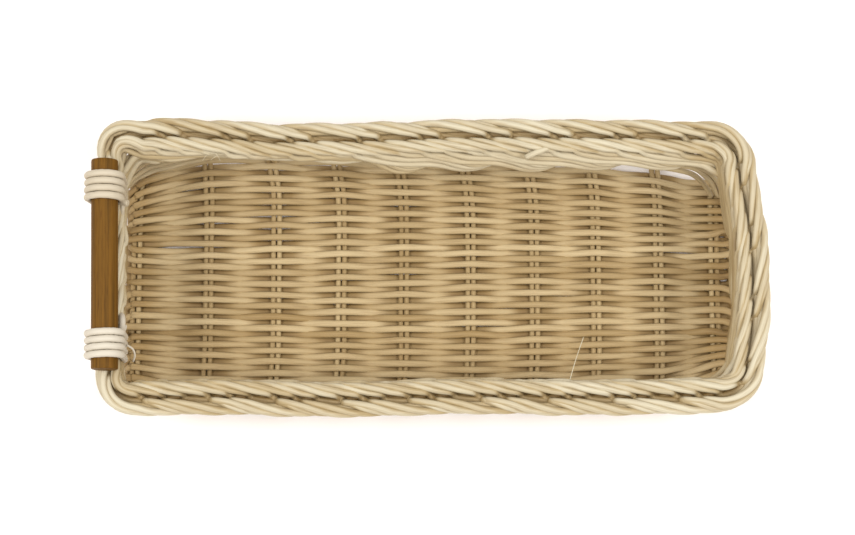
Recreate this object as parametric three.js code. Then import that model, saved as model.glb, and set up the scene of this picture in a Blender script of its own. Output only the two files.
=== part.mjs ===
// A rattan cutlery basket: a woven base on ten pairs of cross stakes, a border of two rope-like rows,
// and a wooden bar lashed on top of the border's left end. Millimetres, +Z up, X along the basket.
import * as THREE from "three";

// Base: pairs of cross stakes and the rows woven between them
const STAKE_PAIRS = 10;
const STAKE_PITCH = 33.6;
const STAKE_DIAMETER = 2.7;
const WEAVER_WIDTH = 2.7;
const WEAVER_THICKNESS = 2.7;
const WEAVER_END = 4;
const BEND_RADIUS = 5;
const END_STAKE_SPREAD = 27;

// Rim: the valley line between the border's two rows, and the height of the border's top
const RIM_WIDTH = 130;
const RIM_HEIGHT = 59;
const CORNER_HANDLE_END = 14;
const CORNER_FAR_END = 12.5;
const FAR_END_BULGE = 5.5;
const BULGE_INSIDE_WALL = 0.5;

// Border: groups of three strands laid over an outer and an inner row
const GROUP_COUNT = 26;
const STRANDS_IN_GROUP = 3;
const BORDER_STRAND = 3.3;
const GROUP_GAP = 0.9;
const OUTER_ROW_WIDTH = 8.8;
const INNER_ROW_WIDTH = 7.8;
const VALLEY_DEPTH = 2.4;
const LAY_ANGLE = 17;
const TUCK_ANGLE = 38;
const SWAG_ANGLE = 22;
const SWAG_DEPTH = 16.5;
const SWAG_BELLY = 2.2;
const SWAG_LEAN = 30;
const OUTER_SQUEEZE = 0.15;
const INNER_SQUEEZE = 0.42;
const SQUEEZE_RUN = 22;

// How the border's strands are seen in section: the angles round each row, and each strand's back and groove
const OUTER_ARC = [-62, 142];
const INNER_ARC = [38, 180];
const OUTER_ARC_STEPS = 6;
const INNER_ARC_STEPS = 4;
const UNDER_EDGE_ANGLE = -30;
const STRAND_BACK = 0.36;
const STRAND_GROOVE = 0.25;

// Handle bar and its two lashings
const BAR_DIAMETER = 13.4;
const BAR_END_INSET = 12.5;
const BAR_OUTSET = 3.2;
const BAR_EASE = 1.2;
const LASHING_INSET = 12.5;
const LASHING_TURNS = 4;
const LASHING_STRAND = 3.2;
const LASHING_GAP = 0.55;
const LASHING_SLACK = 0.5;
const LASHING_START_ANGLE = -60;

// Clearance between pieces that touch
const FIT = 0.3;

// How finely the round forms are faceted
const STAKE_SIDES = 6;
const SWAG_STEPS = 4;
const BEND_STEPS = 3;
const TURN_STEPS = 3;
const LOOP_STEPS = 20;
const LASHING_SIDES = 6;
const BAR_SIDES = 20;

const rad = THREE.MathUtils.degToRad;
const AXIS_X = new THREE.Vector3(1, 0, 0);
const AXIS_Y = new THREE.Vector3(0, 1, 0);

// Heights in the base: weavers under a stake, the stakes, and weavers over a stake
const underZ = WEAVER_THICKNESS / 2;
const stakeZ = WEAVER_THICKNESS + FIT + STAKE_DIAMETER / 2;
const overZ = WEAVER_THICKNESS * 1.5 + STAKE_DIAMETER + FIT * 2;

// Places in the base
const pairHalf = (STAKE_DIAMETER + FIT) / 2;
const outerPairX = (STAKE_PITCH * (STAKE_PAIRS - 1)) / 2;
const outerStrandX = outerPairX + pairHalf;
const endWallX = outerStrandX + BEND_RADIUS;
const wallY = RIM_WIDTH / 2;
const rowPitch = WEAVER_WIDTH + FIT;
const rowsEachSide = Math.floor((wallY - BEND_RADIUS - WEAVER_WIDTH / 2 - FIT) / rowPitch);
const endStakeStep = Math.round(END_STAKE_SPREAD / rowPitch);
const pairX = (pair) => STAKE_PITCH * pair - outerPairX;
const rowY = (row) => rowPitch * row;
const passesOver = (row, pair) => (((row + pair) % 2) + 2) % 2 === 0;
const crossingZ = (row, pair) => (passesOver(row, pair) ? overZ : underZ);

// The rim's valley line, clockwise from above, starting at the left end of the far long side
const rimLeft = -endWallX;
const rimRight = endWallX - FAR_END_BULGE * BULGE_INSIDE_WALL;
const rimLine = new THREE.Path();
rimLine.moveTo(rimLeft + CORNER_HANDLE_END, wallY);
rimLine.lineTo(rimRight - CORNER_FAR_END, wallY);
rimLine.absarc(rimRight - CORNER_FAR_END, wallY - CORNER_FAR_END, CORNER_FAR_END, rad(90), 0, true);
rimLine.lineTo(rimRight, CORNER_FAR_END - wallY);
rimLine.absarc(rimRight - CORNER_FAR_END, CORNER_FAR_END - wallY, CORNER_FAR_END, 0, rad(-90), true);
rimLine.lineTo(rimLeft + CORNER_HANDLE_END, -wallY);
rimLine.absarc(rimLeft + CORNER_HANDLE_END, CORNER_HANDLE_END - wallY, CORNER_HANDLE_END, rad(-90), rad(-180), true);
rimLine.lineTo(rimLeft, wallY - CORNER_HANDLE_END);
rimLine.absarc(rimLeft + CORNER_HANDLE_END, wallY - CORNER_HANDLE_END, CORNER_HANDLE_END, rad(180), rad(90), true);
const rimLength = rimLine.getLength();
const groupPitch = rimLength / GROUP_COUNT;

// The far end bows outwards between its corners
const farEndBow = (x, y) => (x > 0 ? FAR_END_BULGE * (1 - (y / wallY) ** 2) : 0);

// The border is narrower at the handle end, where the lashings pull it together
function squeezed(outward, x) {
  const into = THREE.MathUtils.smoothstep(-x, endWallX - SQUEEZE_RUN, endWallX);
  return outward * (1 - (outward > 0 ? OUTER_SQUEEZE : INNER_SQUEEZE) * into);
}

// A point of the border: along the rim, outwards from the valley line, and up from the border's top
function borderPoint(along, outward, up) {
  const share = (((along / rimLength) % 1) + 1) % 1;
  const at = rimLine.getPointAt(share);
  const heading = rimLine.getTangentAt(share);
  const reach = squeezed(outward, at.x);
  return new THREE.Vector3(
    at.x + farEndBow(at.x, at.y) - heading.y * reach,
    at.y + heading.x * reach,
    RIM_HEIGHT + up,
  );
}

// Where a cross stake meets the rim's valley line
function rimHalfWidthAt(x) {
  const corner = x < 0 ? CORNER_HANDLE_END : CORNER_FAR_END;
  const centre = x < 0 ? rimLeft + corner : rimRight - corner;
  const past = Math.max(0, x < 0 ? centre - x : x - centre);
  const drop = corner - Math.sqrt(Math.max(0, corner ** 2 - Math.min(past, corner) ** 2));
  return wallY - drop;
}

// One closed solid through rings of points, with a cap at each end and each facet split the short way
function skin(rings) {
  const sides = rings[0].length;
  const points = rings.flat();
  const middles = [rings[0], rings.at(-1)].map((ring) =>
    ring.reduce((sum, p) => sum.add(p), new THREE.Vector3()).divideScalar(sides),
  );
  const faces = [];
  for (let k = 0; k < rings.length - 1; k++) {
    for (let i = 0; i < sides; i++) {
      const a = k * sides + i;
      const b = k * sides + ((i + 1) % sides);
      const rising = points[a].distanceTo(points[b + sides]);
      const falling = points[b].distanceTo(points[a + sides]);
      if (falling < rising) faces.push([a, b, a + sides], [b, b + sides, a + sides]);
      else faces.push([a, b, b + sides], [a, b + sides, a + sides]);
    }
  }
  const last = (rings.length - 1) * sides;
  for (let i = 0; i < sides; i++) {
    const next = (i + 1) % sides;
    faces.push([points.length, next, i], [points.length + 1, last + i, last + next]);
  }
  points.push(...middles);
  const volume = faces.reduce((sum, [a, b, c]) => {
    return sum + points[a].dot(points[b].clone().cross(points[c]));
  }, 0);
  const outward = volume > 0 ? faces : faces.map(([a, b, c]) => [a, c, b]);
  const geometry = new THREE.BufferGeometry().setFromPoints(points);
  geometry.setIndex(outward.flat());
  geometry.computeVertexNormals();
  return geometry;
}

// A ring of points round a centre, from a section given across and along the strand's normal
function ringAt(centre, heading, across, section) {
  const side = across.clone().addScaledVector(heading, -across.dot(heading)).normalize();
  const normal = heading.clone().cross(side);
  return section.map(([w, t]) => centre.clone().addScaledVector(side, w).addScaledVector(normal, t));
}

// A regular section for a round strand
function roundSection(diameter, sides) {
  return Array.from({ length: sides }, (_, i) => {
    const turn = (2 * Math.PI * (i + 0.5)) / sides;
    return [(Math.cos(turn) * diameter) / 2, (Math.sin(turn) * diameter) / 2];
  });
}

// A quarter bend from a level run to an upright one, as centres and headings in the plane of reach and Z
function bendUp(reach, level, radius) {
  return Array.from({ length: BEND_STEPS + 1 }, (_, i) => {
    const turn = (rad(90) * i) / BEND_STEPS;
    return {
      reach: reach + radius * Math.sin(turn),
      z: level + radius * (1 - Math.cos(turn)),
      turn,
    };
  });
}

// The border's profile: the middle of the strand layer as it goes over both rows
const rowRadius = (width) => (width - BORDER_STRAND) / 2;
const valleyUp = -VALLEY_DEPTH - BORDER_STRAND / 2;
const strandBack = BORDER_STRAND * STRAND_BACK;
const strandGroove = BORDER_STRAND * STRAND_GROOVE;
const stakeTopZ = RIM_HEIGHT + valleyUp - strandBack - FIT;

function rowArc(side, width, [from, to], steps) {
  const radius = rowRadius(width);
  return Array.from({ length: steps + 1 }, (_, i) => {
    const turn = rad(from + ((to - from) * i) / steps);
    return {
      out: (side * width) / 2 + radius * Math.cos(turn),
      up: -width / 2 + radius * Math.sin(turn),
      normal: [Math.cos(turn), Math.sin(turn)],
    };
  });
}

// Below the inner row the strands hang in a low swag along the wall, fullest halfway down
function swag() {
  const top = -INNER_ROW_WIDTH / 2;
  const innerEdge = -INNER_ROW_WIDTH + BORDER_STRAND / 2;
  const back = -(STAKE_DIAMETER + BORDER_STRAND) / 2 - FIT * 2;
  return Array.from({ length: SWAG_STEPS }, (_, i) => {
    const share = (i + 1) / SWAG_STEPS;
    const belly = SWAG_BELLY * Math.sin(Math.PI * share);
    const lean = rad(180 + SWAG_LEAN * share);
    return {
      out: innerEdge - belly + (back - innerEdge) * share ** 3,
      up: top + (-SWAG_DEPTH - top) * share,
      normal: [Math.cos(lean), Math.sin(lean)],
      hangs: true,
    };
  });
}

function borderProfile() {
  const stations = [
    ...rowArc(1, OUTER_ROW_WIDTH, OUTER_ARC, OUTER_ARC_STEPS),
    { out: 0, up: valleyUp, normal: [0, 1] },
    ...rowArc(-1, INNER_ROW_WIDTH, INNER_ARC, INNER_ARC_STEPS),
    ...swag(),
  ];
  const underEdge = -OUTER_ROW_WIDTH / 2 + rowRadius(OUTER_ROW_WIDTH) * Math.sin(rad(UNDER_EDGE_ANGLE));
  let along = 0;
  stations.forEach((station, i) => {
    if (i > 0) {
      const before = stations[i - 1];
      const run = Math.hypot(station.out - before.out, station.up - before.up);
      const tucked = station.up < underEdge ? TUCK_ANGLE : LAY_ANGLE;
      along += run / Math.tan(rad(station.hangs ? SWAG_ANGLE : tucked));
    }
    station.along = along;
  });
  return stations;
}

const profile = borderProfile();

// One group of three border strands, side by side, from under the outer row to the inner wall
function borderGroup(group) {
  const slit = GROUP_GAP / Math.sin(rad(LAY_ANGLE));
  const span = groupPitch - slit;
  const lanes = STRANDS_IN_GROUP * 2;
  const front = Array.from({ length: lanes - 1 }, (_, i) => {
    return [(i + 1) / lanes, i % 2 ? strandGroove : BORDER_STRAND / 2];
  });
  const back = Array.from({ length: STRANDS_IN_GROUP + 1 }, (_, i) => [1 - i / STRANDS_IN_GROUP, -strandBack]);
  const section = [...front, ...back];
  const rings = profile.map(({ out, up, normal, along }) =>
    section.map(([share, height]) =>
      borderPoint(
        groupPitch * group + along + span * share,
        out + normal[0] * height,
        up + normal[1] * height,
      ),
    ),
  );
  return skin(rings);
}

// A cross stake: up one wall, across the base, and up the other wall
function crossStake(x) {
  const topY = rimHalfWidthAt(x) - FIT;
  const section = roundSection(STAKE_DIAMETER, STAKE_SIDES);
  const half = bendUp(wallY - BEND_RADIUS, stakeZ, BEND_RADIUS);
  const rise = { reach: topY, z: stakeTopZ, turn: rad(90) };
  const stations = [...half, rise];
  const ring = ({ reach, z, turn }, sign) => {
    const heading = new THREE.Vector3(0, Math.cos(turn), sign * Math.sin(turn));
    return ringAt(new THREE.Vector3(x, sign * reach, z), heading, AXIS_X, section);
  };
  const down = stations.toReversed().map((station) => ring(station, -1));
  const up = stations.map((station) => ring(station, 1));
  return skin([...down, ...up]);
}

// The level stations of one woven row, from left to right
function rowStations(row, fromPair, toPair) {
  const flat = pairHalf + STAKE_DIAMETER / 2 + FIT;
  const stations = [];
  for (let pair = fromPair; pair <= toPair; pair++) {
    const z = crossingZ(row, pair);
    stations.push({ x: pairX(pair) - flat, z }, { x: pairX(pair) + flat, z });
  }
  return stations;
}

// A long end stake: one row of the base that rises at both end walls
function longEndStake(row) {
  const y = rowY(row);
  const section = roundSection(STAKE_DIAMETER, STAKE_SIDES);
  const lastPair = STAKE_PAIRS - 1;
  const woven = rowStations(row, 0, lastPair).slice(1, -1);
  const rise = (pair, sign) => {
    const bend = bendUp(outerStrandX, crossingZ(row, pair), BEND_RADIUS);
    const rimX = sign < 0 ? -rimLeft : rimRight + farEndBow(1, y);
    const stations = [...bend, { reach: rimX, z: stakeTopZ, turn: rad(90) }];
    return stations.map(({ reach, z, turn }) => {
      const heading = new THREE.Vector3(Math.cos(turn), 0, sign * Math.sin(turn));
      return ringAt(new THREE.Vector3(sign * reach, y, z), heading, AXIS_Y, section);
    });
  };
  const level = woven.map(({ x, z }) => ringAt(new THREE.Vector3(x, y, z), AXIS_X, AXIS_Y, section));
  return skin([...rise(0, -1).reverse(), ...level, ...rise(lastPair, 1)]);
}

// A base weaver: one unbroken strand that goes back and forth and turns round the outermost pairs
function baseWeaver(firstRow, lastRow) {
  const w = WEAVER_WIDTH / 2;
  const t = WEAVER_THICKNESS / 2;
  const section = [[-w, -t], [w, -t], [w, t], [-w, t]];
  const lastPair = STAKE_PAIRS - 1;
  const turnDepth = (overZ - underZ) / 2;
  const turnReach = turnDepth + FIT * 2;
  const rings = [];
  for (let row = firstRow; row <= lastRow; row++) {
    const forward = (row - firstRow) % 2 === 0 ? 1 : -1;
    const stations = rowStations(row, 0, lastPair).slice(1, -1);
    if (forward < 0) stations.reverse();
    const heading = new THREE.Vector3(forward, 0, 0);
    const endPair = forward > 0 ? lastPair : 0;
    const startPair = lastPair - endPair;
    if (row === firstRow) {
      const start = new THREE.Vector3(-forward * (outerStrandX + WEAVER_END), rowY(row), crossingZ(row, startPair));
      rings.push(ringAt(start, heading, AXIS_Y, section));
    }
    stations.forEach(({ x, z }) => {
      rings.push(ringAt(new THREE.Vector3(x, rowY(row), z), heading, AXIS_Y, section));
    });
    if (row === lastRow) {
      const end = new THREE.Vector3(forward * (outerStrandX + WEAVER_END), rowY(row), crossingZ(row, endPair));
      rings.push(ringAt(end, heading, AXIS_Y, section));
      continue;
    }
    const climb = passesOver(row, endPair) ? -1 : 1;
    for (let i = 0; i <= TURN_STEPS; i++) {
      const turn = (Math.PI * i) / TURN_STEPS;
      const centre = new THREE.Vector3(
        forward * (outerStrandX + turnReach * Math.sin(turn)),
        rowY(row) + (rowPitch * i) / TURN_STEPS,
        stakeZ - climb * turnDepth * Math.cos(turn),
      );
      const way = new THREE.Vector3(forward * Math.cos(turn), 0, climb * Math.sin(turn));
      rings.push(ringAt(centre, way, AXIS_Y, section));
    }
  }
  return skin(rings);
}

// The handle bar lies on top of the border's outer row at the handle end, and is lashed near both its ends
const barX = rimLeft - BAR_OUTSET;
const barZ = RIM_HEIGHT + FIT + BAR_DIAMETER / 2;
const barLength = RIM_WIDTH - BAR_END_INSET * 2;
const lashingY = barLength / 2 - LASHING_INSET;

function handleBar() {
  const r = BAR_DIAMETER / 2;
  const half = barLength / 2;
  const outline = [
    [0, -half],
    [r - BAR_EASE, -half],
    [r, BAR_EASE - half],
    [r, half - BAR_EASE],
    [r - BAR_EASE, half],
    [0, half],
  ];
  return new THREE.LatheGeometry(outline.map(([x, y]) => new THREE.Vector2(x, y)), BAR_SIDES);
}

// One tight turn of a lashing: the outline drawn round the bar and the border under it
function lashingOutline() {
  const skinPoints = profile.map(({ out, up, normal }) => ({
    x: rimLeft - squeezed(out + (normal[0] * BORDER_STRAND) / 2, rimLeft),
    z: RIM_HEIGHT + up + (normal[1] * BORDER_STRAND) / 2,
    r: 0,
  }));
  const held = [...skinPoints, { x: barX, z: barZ, r: BAR_DIAMETER / 2 }];
  const standOff = LASHING_STRAND / 2 + LASHING_SLACK;
  return Array.from({ length: LOOP_STEPS }, (_, i) => {
    const turn = rad(LASHING_START_ANGLE) + (2 * Math.PI * i) / LOOP_STEPS;
    const way = { x: Math.cos(turn), z: Math.sin(turn) };
    const reachOf = ({ x, z, r }) => x * way.x + z * way.z + r;
    const outermost = held.reduce((best, piece) => (reachOf(piece) > reachOf(best) ? piece : best));
    const grow = outermost.r + standOff;
    return new THREE.Vector2(outermost.x + way.x * grow, outermost.z + way.z * grow);
  });
}

// A lashing's route: its turns side by side along the bar, with a straight end before and after
function lashingRoute(middleY) {
  const outline = lashingOutline();
  const pitch = LASHING_STRAND + LASHING_GAP;
  const lengths = outline.map((p, i) => p.distanceTo(outline[(i + 1) % outline.length]));
  const around = lengths.reduce((sum, l) => sum + l, 0);
  const route = [];
  let run = 0;
  for (let i = 0; i <= LOOP_STEPS * LASHING_TURNS; i++) {
    const p = outline[i % LOOP_STEPS];
    const y = middleY + pitch * (run / around - LASHING_TURNS / 2);
    route.push(new THREE.Vector3(p.x, y, p.y));
    run += lengths[i % LOOP_STEPS];
  }
  const beyond = (end, before) =>
    end.clone().addScaledVector(end.clone().sub(before).normalize(), LASHING_STRAND);
  return [beyond(route[0], route[1]), ...route, beyond(route.at(-1), route.at(-2))];
}

function lashing(middleY) {
  const route = lashingRoute(middleY);
  const section = roundSection(LASHING_STRAND, LASHING_SIDES);
  const rings = route.map((p, i) => {
    const before = route[Math.max(0, i - 1)];
    const after = route[Math.min(route.length - 1, i + 1)];
    return ringAt(p, after.clone().sub(before).normalize(), AXIS_Y, section);
  });
  return skin(rings);
}

// The least gap between neighbouring turns of a lashing, measured between points along its route
function leastGap(route) {
  const fine = [];
  const parts = 6;
  route.slice(1).forEach((p, i) => {
    for (let k = 0; k < parts; k++) fine.push(route[i].clone().lerp(p, k / parts));
  });
  const apart = (LOOP_STEPS * parts) / 2;
  let least = Infinity;
  fine.forEach((p, i) => {
    for (let j = i + apart; j < fine.length; j++) least = Math.min(least, p.distanceTo(fine[j]));
  });
  return least - LASHING_STRAND;
}

// Finishes
const finish = (color, roughness) => new THREE.MeshStandardMaterial({ color, roughness, metalness: 0 });
const stakeRattan = finish(0xc4a470, 0.7);
const baseRattan = finish(0xc9ad78, 0.68);
const borderRattan = finish(0xdccba4, 0.62);
const bleachedRattan = finish(0xebe2cd, 0.55);
const handleWood = finish(0x80582a, 0.5);

// Assembly
const basket = new THREE.Group();

function place(name, geometry, material) {
  const mesh = new THREE.Mesh(geometry, material);
  mesh.name = name;
  basket.add(mesh);
  return mesh;
}

const numbered = (n) => String(n).padStart(2, "0");

for (let pair = 0; pair < STAKE_PAIRS; pair++) {
  place("cross_stake_" + numbered(pair + 1) + "a", crossStake(pairX(pair) - pairHalf), stakeRattan);
  place("cross_stake_" + numbered(pair + 1) + "b", crossStake(pairX(pair) + pairHalf), stakeRattan);
}

const endStakeRows = [-endStakeStep, 0, endStakeStep];
const endStakeNames = ["long_end_stake_near", "long_end_stake_middle", "long_end_stake_far"];
endStakeRows.forEach((row, i) => place(endStakeNames[i], longEndStake(row), stakeRattan));

const rowLimits = [-rowsEachSide - 1, ...endStakeRows, rowsEachSide + 1];
rowLimits.slice(1).forEach((limit, i) => {
  place("base_weaver_" + (i + 1), baseWeaver(rowLimits[i] + 1, limit - 1), baseRattan);
});

for (let group = 0; group < GROUP_COUNT; group++) {
  place("border_group_" + numbered(group + 1), borderGroup(group), borderRattan);
}

place("handle_bar", handleBar(), handleWood).position.set(barX, 0, barZ);
place("lashing_near", lashing(-lashingY), bleachedRattan);
place("lashing_far", lashing(lashingY), bleachedRattan);
console.log("least gap between a lashing's turns, mm: " + leastGap(lashingRoute(0)).toFixed(2));

// The origin is the middle of the footprint, on the surface that the basket stands on
const size = new THREE.Box3().setFromObject(basket, true);
const middle = size.getCenter(new THREE.Vector3());
basket.children.forEach((mesh) => {
  mesh.position.x -= middle.x;
  mesh.position.y -= middle.y;
  mesh.position.z -= size.min.z;
});

export default basket;
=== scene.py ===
"""Dresses a rattan cutlery basket: every strand of its base, walls and border, its bar and its lashings."""

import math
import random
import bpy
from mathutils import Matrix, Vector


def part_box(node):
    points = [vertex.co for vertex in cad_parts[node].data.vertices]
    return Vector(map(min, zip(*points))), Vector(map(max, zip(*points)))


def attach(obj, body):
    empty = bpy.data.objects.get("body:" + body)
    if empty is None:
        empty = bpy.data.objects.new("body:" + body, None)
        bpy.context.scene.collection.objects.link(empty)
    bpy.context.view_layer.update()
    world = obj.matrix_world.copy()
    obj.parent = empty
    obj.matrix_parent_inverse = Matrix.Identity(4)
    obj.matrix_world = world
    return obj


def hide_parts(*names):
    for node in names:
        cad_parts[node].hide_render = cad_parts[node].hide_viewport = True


bl_info = {
    "name": "Rattan Cutlery Basket",
    "version": (1, 0, 0),
    "blender": (4, 5, 0),
    "location": "View3D > Sidebar > Basket",
    "description": "Builds the strands, the handle bar and the finishes of a rattan cutlery basket",
    "category": "Add Mesh",
}

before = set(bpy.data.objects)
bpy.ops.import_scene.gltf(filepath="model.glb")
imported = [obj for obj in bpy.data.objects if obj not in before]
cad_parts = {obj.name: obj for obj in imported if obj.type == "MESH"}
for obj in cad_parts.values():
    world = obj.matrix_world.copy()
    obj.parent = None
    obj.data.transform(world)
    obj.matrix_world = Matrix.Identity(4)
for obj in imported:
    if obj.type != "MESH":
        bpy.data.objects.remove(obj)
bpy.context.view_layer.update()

import bpy
import numpy as np
from bpy.props import FloatProperty, FloatVectorProperty, PointerProperty
from mathutils import Vector

# Every path below is worked out in millimetres and turned to metres when its mesh is made
MM = 0.001

# The basket's plan, as in the solid model
STAKE_PAIRS = 10
STAKE_PITCH = 33.6
STAKE_DIAMETER = 2.7
FIT = 0.3
ROW_PITCH = 3.0
END_STAKE_ROWS = (-9, 0, 9)
BEND_RADIUS = 5.0
RIM_WIDTH = 130.0
RIM_HEIGHT = 59.0
CORNER_HANDLE_END = 14.0
CORNER_FAR_END = 12.5
FAR_END_BULGE = 5.5
BULGE_INSIDE_WALL = 0.5
GROUP_COUNT = 26
OUTER_ROW_WIDTH = 8.8
INNER_ROW_WIDTH = 7.8
BAR_OUTSET = 3.2

# How many rows the base has to each side of its middle one, one and two more than in the solids
NEAR_ROWS = 20
FAR_ROWS = 21


def linear(hex_colour):
    """An sRGB hex colour as linear red, green and blue."""
    channels = [int(hex_colour[i : i + 2], 16) / 255 for i in (1, 3, 5)]
    return tuple(c / 12.92 if c <= 0.04045 else ((c + 0.055) / 1.055) ** 2.4 for c in channels)


def node_size(node, axis):
    """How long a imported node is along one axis, in metres."""
    low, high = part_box(node)
    return high[axis] - low[axis]


def size_setting(name, description, default):
    """A length that a user can change, in metres."""
    return FloatProperty(name=name, description=description, default=default, min=MM, unit="LENGTH")


class BasketSizes(bpy.types.PropertyGroup):
    """The strands' and the bar's sizes."""

    stake: size_setting("Stake", "Diameter of a cross stake", STAKE_DIAMETER * MM)
    weaver: size_setting("Weaver", "Diameter of a base weaver", 2.65 * MM)
    border: size_setting("Border strand", "Diameter of a border strand", 3.35 * MM)
    lashing: size_setting("Lashing", "Diameter of a lashing strand", 3.35 * MM)
    bar: size_setting("Bar", "Diameter of the handle bar", node_size("handle_bar", 2))
    bar_length: size_setting("Bar length", "Length of the handle bar", node_size("handle_bar", 1))


def colour_setting(name, description, hex_colour):
    """A colour that a user can change, given in sRGB."""
    return FloatVectorProperty(
        name=name, description=description, default=linear(hex_colour), min=0, max=1, size=3, subtype="COLOR"
    )


class BasketColours(bpy.types.PropertyGroup):
    """The finishes' main colours."""

    base_light: colour_setting("Base, light", "Light strands of the base", "#bca67d")
    base_dark: colour_setting("Base, dark", "Darker strands of the base", "#987d50")
    stake: colour_setting("Stakes", "Cross stakes and end stakes", "#bda578")
    border_light: colour_setting("Border, light", "Light strands of the border", "#c8bda2")
    border_dark: colour_setting("Border, dark", "Darker strands of the border", "#ac976f")
    lashing: colour_setting("Lashings", "Bleached strand of the lashings", "#cbc1af")
    bar_light: colour_setting("Bar, light", "Light streaks of the bar's grain", "#714c13")
    bar_dark: colour_setting("Bar, dark", "Dark streaks of the bar's grain", "#573a0a")
    floor: colour_setting("Floor", "The plain floor", "#fff8f2")


# Curves and chance


def direction(turn):
    """A unit vector that many radians round from x."""
    return np.array([math.cos(turn), math.sin(turn)])


def smooth_step(value, low, high):
    """0 below low, 1 above high and a smooth rise between them."""
    t = min(max((value - low) / (high - low), 0.0), 1.0)
    return t * t * (3 - 2 * t)


def between(value, stops):
    """A smooth curve through (place, amount) stops."""
    if value <= stops[0][0]:
        return stops[0][1]
    for (x0, y0), (x1, y1) in zip(stops, stops[1:]):
        if value <= x1:
            return y0 + (y1 - y0) * smooth_step(value, x0, x1)
    return stops[-1][1]


def smooth_path(points, step):
    """A smooth curve through the points, with one point about every step."""
    p = np.asarray(points, float)
    p = np.vstack([2 * p[0] - p[1], p, 2 * p[-1] - p[-2]])
    parts = []
    for a, b, c, d in zip(p, p[1:], p[2:], p[3:]):
        count = max(1, round(float(np.linalg.norm(c - b)) / step))
        t = np.arange(count)[:, None] / count
        bend = (2 * a - 5 * b + 4 * c - d) * t**2 + (3 * b - a - 3 * c + d) * t**3
        parts.append(0.5 * (2 * b + (c - a) * t + bend))
    return np.vstack(parts + [p[-2][None]])


def lengths_along(path):
    """How far along the path each of its points is."""
    steps = np.linalg.norm(np.diff(path, axis=0), axis=1)
    return np.concatenate([[0.0], np.cumsum(steps)])


def stray(chance, amount):
    """A random length, up to that amount either way. All seeds are fixed, so the basket stays the same."""
    return chance.uniform(-amount, amount)


def wavering(path, amount, length, seed):
    """The path with a long and a short sideways wave, as a cane has that was never quite straight."""
    chance = random.Random(seed)
    path = np.array(path, float)
    along = lengths_along(path)
    for axis in range(3):
        for share in (1.0, 0.45):
            phase = chance.uniform(0, 2 * math.pi)
            size = amount * share * chance.uniform(0.5, 1.0)
            path[:, axis] += size * np.sin(along * 2 * math.pi / (length * share) + phase)
    return path


# The rim's valley line and the border laid along it

HALF_PAIR = (STAKE_DIAMETER + FIT) / 2
OUTER_STRAND_X = STAKE_PITCH * (STAKE_PAIRS - 1) / 2 + HALF_PAIR
END_WALL_X = OUTER_STRAND_X + BEND_RADIUS
WALL_Y = RIM_WIDTH / 2
RIM_LEFT = -END_WALL_X
RIM_RIGHT = END_WALL_X - FAR_END_BULGE * BULGE_INSIDE_WALL
BAR_X = RIM_LEFT - BAR_OUTSET

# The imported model's origin is the middle of its footprint, so its bar says how far everything moved
bar_low, bar_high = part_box("handle_bar")
SHIFT_X = (bar_low[0] + bar_high[0]) / 2 / MM - BAR_X
BAR_Z = (bar_low[2] + bar_high[2]) / 2 / MM


def rim_pieces():
    """The valley line's straight runs and quarter turns, clockwise from above, as functions of distance."""
    near, far = CORNER_HANDLE_END, CORNER_FAR_END
    corners = [
        (RIM_RIGHT - far, WALL_Y - far, far, 90),
        (RIM_RIGHT - far, far - WALL_Y, far, 0),
        (RIM_LEFT + near, near - WALL_Y, near, -90),
        (RIM_LEFT + near, WALL_Y - near, near, -180),
    ]
    pieces = []
    for i, (x, y, radius, start) in enumerate(corners):
        before = corners[i - 1]
        outward = direction(math.radians(start))
        heading = np.array([outward[1], -outward[0]])
        begin = np.array(before[:2]) + outward * before[2]
        end = np.array([x, y]) + outward * radius
        run = float(np.dot(end - begin, heading))
        pieces.append((run, "run", begin, heading, outward))
        pieces.append((radius * math.pi / 2, "turn", np.array([x, y]), radius, start))
    return pieces


RIM = rim_pieces()
RIM_LENGTH = sum(piece[0] for piece in RIM)
GROUP_PITCH = RIM_LENGTH / GROUP_COUNT


def rim_at(along):
    """The valley line's point and its outward direction, that many millimetres along it."""
    along %= RIM_LENGTH
    for length, kind, *facts in RIM:
        if along <= length:
            break
        along -= length
    if kind == "run":
        begin, heading, outward = facts
        return begin + heading * along, outward
    centre, radius, start = facts
    outward = direction(math.radians(start) - along / radius)
    return centre + outward * radius, outward


# Hand work leaves the rim uneven: how far each side stands out along the basket, by x or by y, and from where
FAR_SIDE_WANDER = [
    (-150, 0.8), (-138, 2.6), (-110, 1.6), (-80, -0.4), (-45, 0.0), (30, 2.0), (90, 1.6), (150, 0.8)
]
NEAR_SIDE_WANDER = [(-150, 0.0), (-130, 0.2), (-110, -0.4), (-45, 0.9), (20, -0.6), (80, 0.0), (150, -0.8)]
FAR_END_WANDER = [(-65, -0.6), (-50, 0.2), (-20, 1.0), (15, 0.4), (50, -2.0), (65, -0.6)]
SIDES_FROM_Y = 40
FAR_END_FROM_X = 120

# How far the bar's tight lashings push out the two corners beside them, and how square that leaves them
CORNER_PUSH = {"far": 5.4, "near": 1.8}
CORNER_SQUARENESS = 1.5


def wander_at(x, y, way):
    """How far the hand-made rim stands outside its even line."""
    side = FAR_SIDE_WANDER if y > 0 else NEAR_SIDE_WANDER
    wander = between(x, side) * smooth_step(abs(y), SIDES_FROM_Y, WALL_Y)
    wander += between(y, FAR_END_WANDER) * smooth_step(x, FAR_END_FROM_X, RIM_RIGHT)
    if x < RIM_LEFT + CORNER_HANDLE_END:
        square = (2 * abs(way[0] * way[1])) ** CORNER_SQUARENESS
        wander += CORNER_PUSH["far" if y > 0 else "near"] * square
    return wander


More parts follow.
